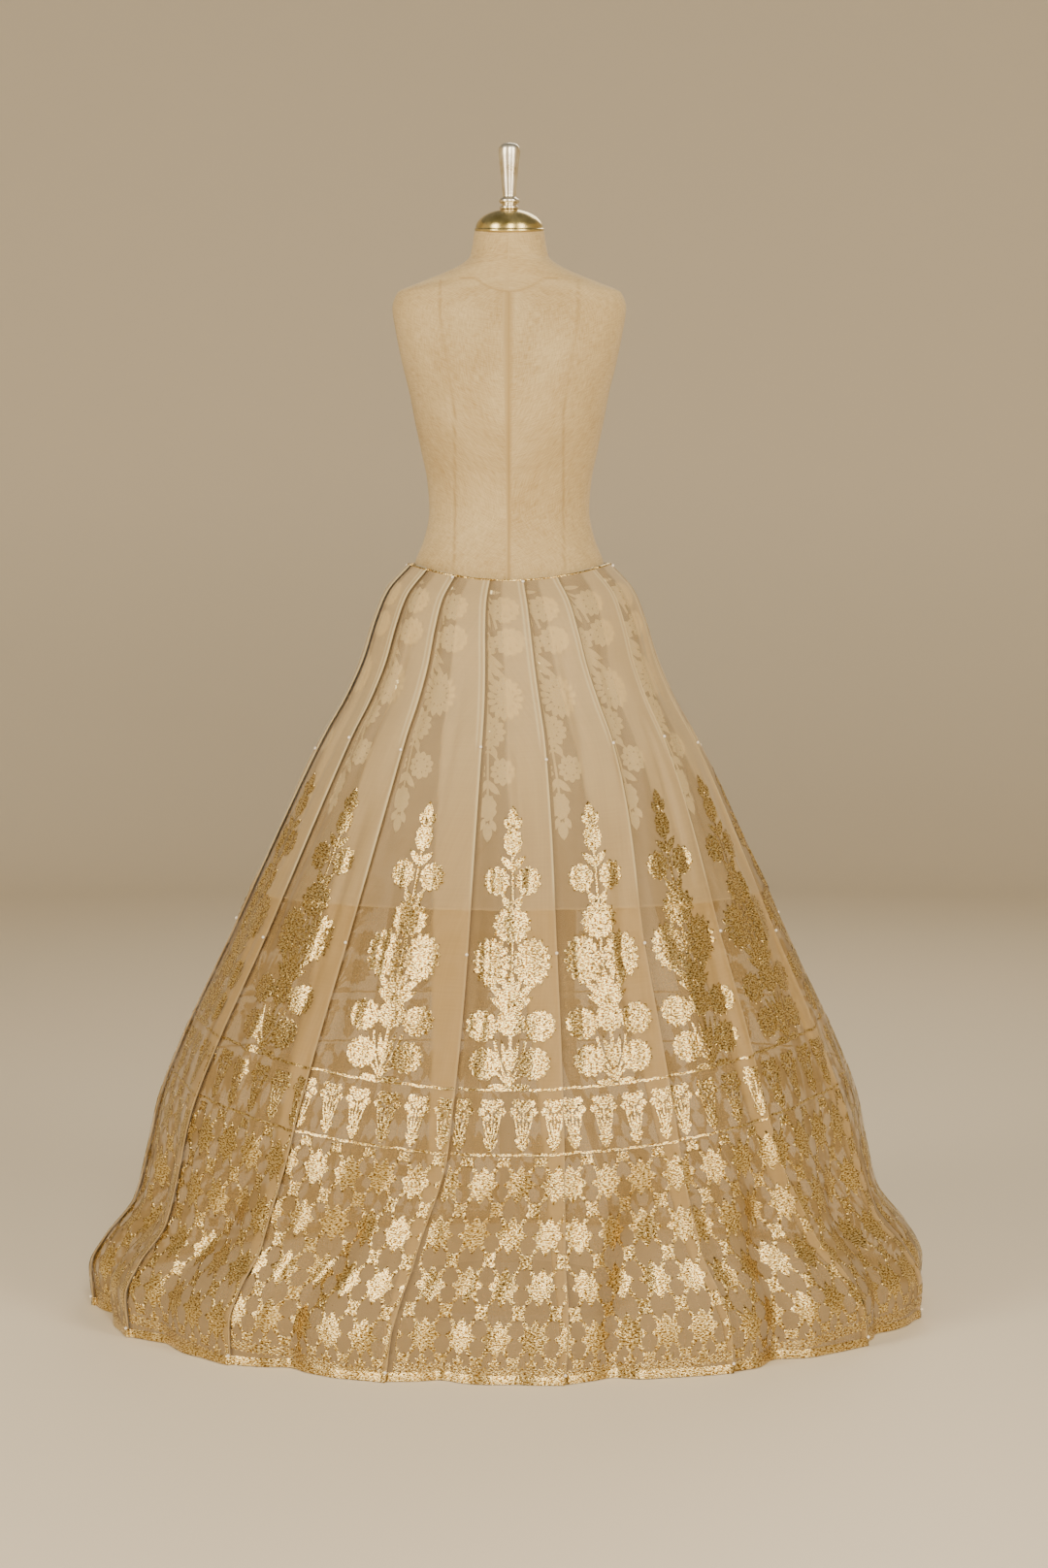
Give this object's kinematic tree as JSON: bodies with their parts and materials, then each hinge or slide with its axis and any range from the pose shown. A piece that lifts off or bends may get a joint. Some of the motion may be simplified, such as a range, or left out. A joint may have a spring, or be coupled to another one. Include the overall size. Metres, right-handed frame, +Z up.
{
  "type": "lehenga skirt on dress form",
  "caption": "Floor-length knife-pleated lehenga skirt in ivory organza with gold brocade, open at the hem, standing on a limbless linen dress form with a metal neck cap.",
  "frame": {"origin": "on the floor, at the middle of the whole object's box as seen from above", "axes": "+Z up along the pole, the skirt's front faces -Y, +X is to the viewer's right"},
  "size_m": [1.301, 1.0548, 1.7844],
  "materials": {
    "organza": "sheer silk organza with gold brocade",
    "organza_inner": "sheer silk organza, wrong side out",
    "zari": "woven gold thread",
    "linen": "plain woven linen over a padded shell",
    "cap_metal": "champagne gold, satin",
    "stand_steel": "plain powder coat"
  },
  "bodies": {
    "root": {"skirt_width_front": "organza", "skirt_width_right": "organza", "skirt_width_back": "organza", "skirt_width_left": "organza", "skirt_turned_top": "organza_inner", "skirt_waist_edge": "zari", "skirt_hem_band": "zari", "form_torso": "linen", "form_neck_cap": "cap_metal", "form_finial": "cap_metal", "form_pole": "stand_steel", "form_socket": "stand_steel", "form_base": "stand_steel"}
  },
  "joints": []
}
